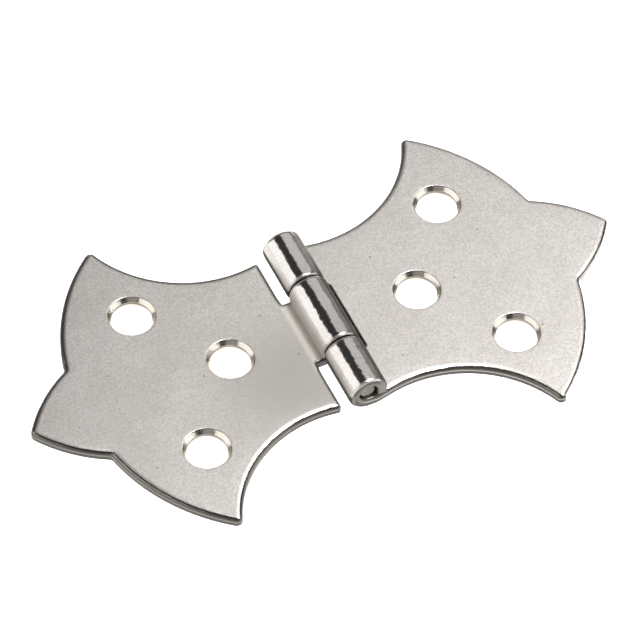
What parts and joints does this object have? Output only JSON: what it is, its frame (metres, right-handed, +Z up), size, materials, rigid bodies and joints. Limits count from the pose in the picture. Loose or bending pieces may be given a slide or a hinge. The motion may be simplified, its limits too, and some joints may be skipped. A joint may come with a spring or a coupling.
{
  "type": "butterfly hinge",
  "caption": "Surface-mounted butterfly hinge: wing-shaped pressed sheet leaves with countersunk screw holes, joined by knuckles rolled round a plain pin.",
  "frame": {"origin": "under the middle of the pin, on the plane of the leaves' undersides, with the hinge lying open and flat", "axes": "+X across the pin to the leaf with the outer knuckles, +Y along the pin, +Z up out of the countersunk faces"},
  "size_m": [0.07, 0.0394, 0.0045],
  "materials": {
    "leaf_plating": "satin nickel plate on pressed steel, bright on the rolled knuckles",
    "pin_steel": "plain cut steel wire"
  },
  "bodies": {
    "right_leaf": {"right_leaf": "leaf_plating", "hinge_pin": "pin_steel"},
    "left_leaf": {"left_leaf": "leaf_plating"}
  },
  "joints": [
    {"name": "pin_hinge", "type": "hinge", "parent": "right_leaf", "child": "left_leaf", "pos_m": [0, 0, 0.00228], "axis": [0, 1, 0], "range_deg": [-90, 180]}
  ]
}
